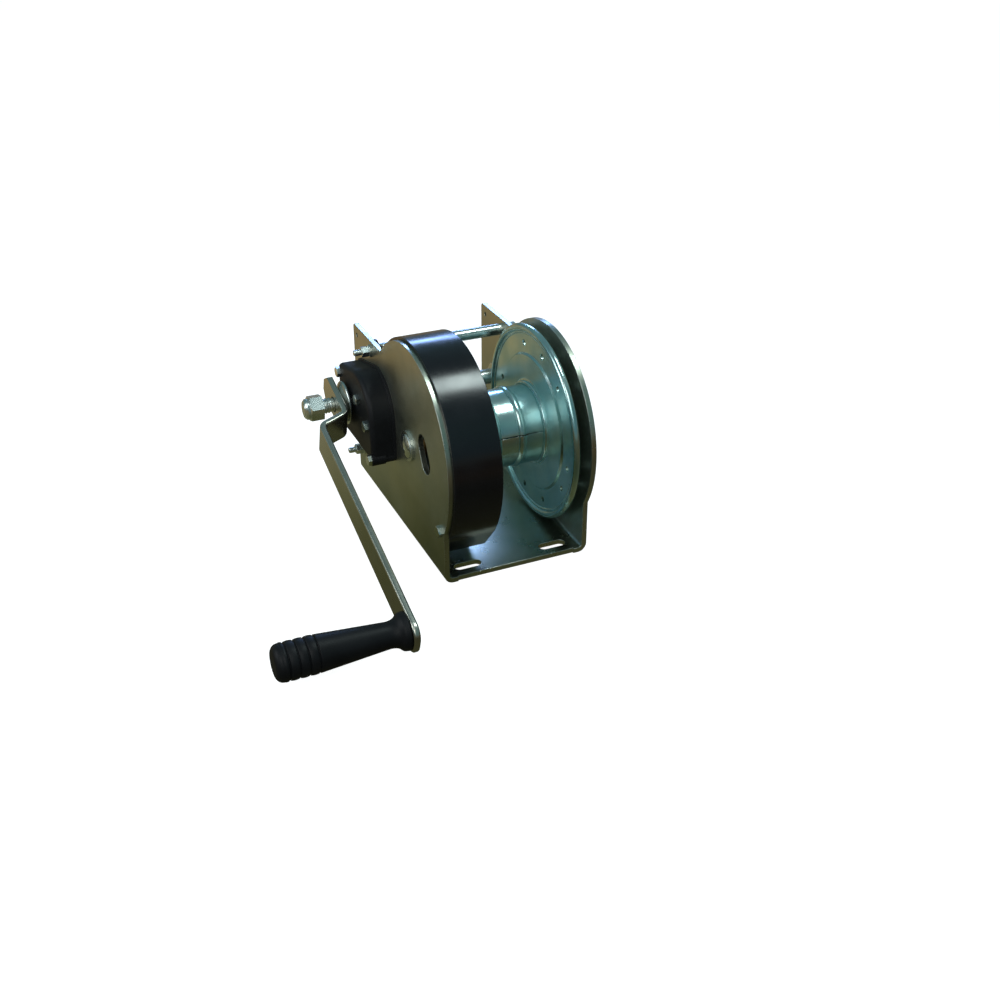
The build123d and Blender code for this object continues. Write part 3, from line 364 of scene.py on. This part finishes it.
def black_plastic(name, colour, worn, roughness, grain_scale, grain_height, shine):
    """Moulded black plastic: fine grain, faint dust, edges a little greyer."""
    material, tree, shader, coords = new_material(name)
    haze = noise_value(tree, coords, HAZE_SCALE, detail=5, roughness=0.6)
    shade = mix(tree, ramp(tree, haze, [(0.42, 0.0), (0.72, 0.5)]), colour, worn)
    soft_normal, edges = edge_mask(tree, PLASTIC_CORNER)
    shade = mix(tree, combine(tree, "MULTIPLY", edges, PLASTIC_EDGE_STRENGTH), shade, worn)
    tree.links.new(shade, shader.inputs["Base Color"])
    rough = spread(tree, haze, roughness - ROUGHNESS_DIP, roughness + PLASTIC_ROUGHNESS_RISE)
    tree.links.new(rough, shader.inputs["Roughness"])
    shader.inputs["Specular IOR Level"].default_value = shine
    grain = noise_value(tree, coords, grain_scale, detail=2)
    add_bump(tree, shader, grain, PLASTIC_BUMP, grain_height, soft_normal)
    return material


def speckled(name, colour, speck, roughness, metallic):
    """Granular material, such as a brake lining or a sintered bush."""
    material, tree, shader, coords = new_material(name)
    granules = noise_value(tree, coords, GRANULE_SCALE, detail=3, roughness=0.7)
    shade = mix(tree, ramp(tree, granules, [(0.52, 0.0), (0.66, 1.0)]), colour, speck)
    tree.links.new(shade, shader.inputs["Base Color"])
    shader.inputs["Roughness"].default_value = roughness
    shader.inputs["Metallic"].default_value = metallic
    add_bump(tree, shader, granules, GRANULE_BUMP, GRANULE_HEIGHT)
    return material


def zinc_materials():
    """The plated parts, and bare steel as darker, rougher plate."""
    looks = {
        # The olive of frame_zinc and the teal and brightness of drum_zinc are partly the plating's
        # own tone and partly painted reflection of the olive floor below and the teal room above
        "frame_zinc": dict(tint=(0.56, 0.57, 0.48), deep=(0.42, 0.45, 0.38), roughness=0.28,
                           grain=ALONG_Y, web=0.10),
        "drum_zinc": dict(tint=(0.68, 0.86, 0.83), deep=(0.44, 0.68, 0.71), roughness=0.19,
                          blotch=18, web=0.13, corner=0.25 * MM, wave=0.6),
        "crank_zinc": dict(tint=(0.62, 0.61, 0.54), deep=(0.50, 0.50, 0.43), roughness=0.26,
                           grain=ALONG_Y),
        "bright_zinc": dict(tint=(0.78, 0.82, 0.80), deep=(0.60, 0.66, 0.65), roughness=0.24,
                            grain=ALONG_X),
        "fastener_zinc": dict(tint=(0.82, 0.86, 0.84), deep=(0.62, 0.68, 0.67), roughness=0.25,
                              blotch=14, corner=0.25 * MM),
        "gear_steel": dict(tint=(0.46, 0.44, 0.38), deep=(0.34, 0.33, 0.29), roughness=0.34),
        "spring_steel": dict(tint=(0.30, 0.30, 0.31), deep=(0.22, 0.22, 0.23), roughness=0.35),
    }
    return {slot: zinc(slot, **look) for slot, look in looks.items()}


def speckled_materials():
    """The sintered bushes and the friction linings."""
    looks = {
        "bronze_bush": dict(colour=(0.55, 0.36, 0.15), speck=(0.30, 0.20, 0.10),
                            roughness=0.42, metallic=1.0),
        "brake_lining": dict(colour=(0.06, 0.05, 0.04), speck=(0.20, 0.15, 0.10),
                             roughness=0.85, metallic=0.0),
    }
    return {slot: speckled(slot, **look) for slot, look in looks.items()}


def black_materials():
    """The moulded housing, the soft grip and the smooth gear cover."""
    looks = {
        "black_housing": dict(colour=(0.006, 0.006, 0.009), worn=(0.020, 0.022, 0.026),
                              roughness=0.50, grain_scale=900, grain_height=0.10 * MM, shine=0.30),
        "black_grip": dict(colour=(0.005, 0.005, 0.007), worn=(0.016, 0.017, 0.021),
                           roughness=0.48, grain_scale=1100, grain_height=0.08 * MM, shine=0.25),
        "black_cover": dict(colour=(0.004, 0.004, 0.007), worn=(0.010, 0.011, 0.016),
                            roughness=0.19, grain_scale=700, grain_height=0.01 * MM, shine=0.62),
    }
    return {slot: black_plastic(slot, **look) for slot, look in looks.items()}


def make_materials():
    """One material for each of the record's slots, by the slot's name."""
    return zinc_materials() | speckled_materials() | black_materials()


# --- Detail pieces -----------------------------------------------------------------------

# The thread ridge's section: its crest runs between these parts of the pitch
CREST_START = 0.42
CREST_END = 0.58
ROOT_DEPTH = 0.3 * MM
SECTION_POINTS = 5


def smooth_faces(mesh, angle=35):
    """Smooth shading, with edges sharper than the angle kept crisp."""
    mesh.shade_smooth()
    mesh.set_sharp_from_angle(angle=radians(angle))


def piece_from(name, vertices, faces, body, slot_name):
    """Adds a mesh piece that rides on a body and takes its finish from a material slot."""
    mesh = bpy.data.meshes.new(name)
    mesh.from_pydata(vertices, [], faces)
    mesh.update()
    smooth_faces(mesh)
    mesh.materials.append(MATERIALS[slot_name])
    made = bpy.data.objects.new(name, mesh)
    bpy.context.scene.collection.objects.link(made)
    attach(made, body)


def thread(name, body, axis, start, end, core, crest, pitch, around=28):
    """Adds a helical thread ridge along X, from start to end, about the (y, z) axis.

    Core and crest are radii, and around is the number of sections in one turn.
    """
    turns = abs(end - start - pitch) / pitch
    count = int(turns * around)
    step = (end - start - pitch) / count
    vertices = []
    for index in range(count + 1):
        angle = 2 * pi * index / around
        x = start + step * index
        taper = min(1.0, index / (around / 2), (count - index) / (around / 2))
        top = core + (crest - core) * taper
        section = (
            (0, core),
            (CREST_START * pitch, top),
            (CREST_END * pitch, top),
            (pitch, core),
            (pitch / 2, core - ROOT_DEPTH),
        )
        for dx, radius in section:
            vertices.append((x + dx, axis[0] + radius * cos(angle), axis[1] + radius * sin(angle)))
    faces = []
    for index in range(count):
        for side in range(SECTION_POINTS):
            near = SECTION_POINTS * index + side
            far = SECTION_POINTS * index + (side + 1) % SECTION_POINTS
            faces.append((near, far, far + SECTION_POINTS, near + SECTION_POINTS))
    last = SECTION_POINTS * count
    faces.append(tuple(reversed(range(SECTION_POINTS))))
    faces.append(tuple(range(last, last + SECTION_POINTS)))
    piece_from(name, vertices, faces, body, "bright_zinc")


def centre_of(node):
    """(y, z) of the middle of a node."""
    low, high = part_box(node)
    return ((low[1] + high[1]) / 2, (low[2] + high[2]) / 2)


def shaft_and_axle_threads():
    """The shaft's thread between lock nut and crank arm, and the axle's beyond its nut."""
    shaft_at = centre_of("drive_shaft")
    nut_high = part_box("crank_nut")[1]
    arm_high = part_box("crank_arm")[1]
    thread("shaft_thread", "crank_shaft", shaft_at, nut_high[0] + 0.1 * MM, arm_high[0] - 8 * MM,
           core=7.05 * MM, crest=8.0 * MM, pitch=3 * MM)
    axle_at = centre_of("drum_axle_spacer")
    axle_nut_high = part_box("drum_axle_nut")[1]
    axle_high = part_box("drum_axle")[1]
    thread("axle_thread", "frame_body", axle_at, axle_nut_high[0] - 1.5 * MM, axle_high[0] - 0.4 * MM,
           core=7.6 * MM, crest=8.0 * MM, pitch=2 * MM)


def tie_rod_threads():
    """Threads at both ends of both tie rods, from inside the nut to near the rod's end."""
    nuts_low, nuts_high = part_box("tie_rod_nuts")
    sizes = {"core": 2.9 * MM, "crest": 3.15 * MM, "pitch": 1 * MM, "around": 20}
    for rod in ("upper_tie_rod", "lower_tie_rod"):
        rod_low, rod_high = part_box(rod)
        rod_at = centre_of(rod)
        thread(rod + "_thread_left", "frame_body", rod_at,
               rod_low[0] + 0.3 * MM, nuts_low[0] + 1 * MM, **sizes)
        thread(rod + "_thread_right", "frame_body", rod_at,
               nuts_high[0] - 1 * MM, rod_high[0] - 0.3 * MM, **sizes)


# --- Putting it together -----------------------------------------------------------------


def dress_cad_nodes():
    """Every CAD node gets the material of its own slot."""
    for entry in frame["record"]["subparts"]:
        node = frame["nodes"][entry["node"]]
        node.data.materials.clear()
        node.data.materials.append(MATERIALS[entry["material_slot"]])


make_camera()
make_world()
make_floor()
add_light("window", direction=(0.33, 0.85, 0.40), distance=1.6, size=(0.44, 0.20), power=4.4,
          colour=(0.31, 0.49, 1.0))
add_light("ceiling", direction=(0.35, -0.13, 0.93), distance=1.3, size=(0.34, 0.33), power=4.6,
          colour=(0.84, 1.0, 0.98))
add_light("front", direction=(-0.55, -0.80, 0.75), distance=1.8, size=(1.0, 1.0), power=6.5,
          colour=(1.0, 0.98, 0.94))
add_light("left", direction=(-0.9, 0.1, 0.5), distance=1.6, size=(0.8, 0.8), power=5.5,
          colour=(0.95, 0.98, 1.0))

bpy.context.scene.view_settings.view_transform = "Standard"

MATERIALS = make_materials()
dress_cad_nodes()
shaft_and_axle_threads()
tie_rod_threads()
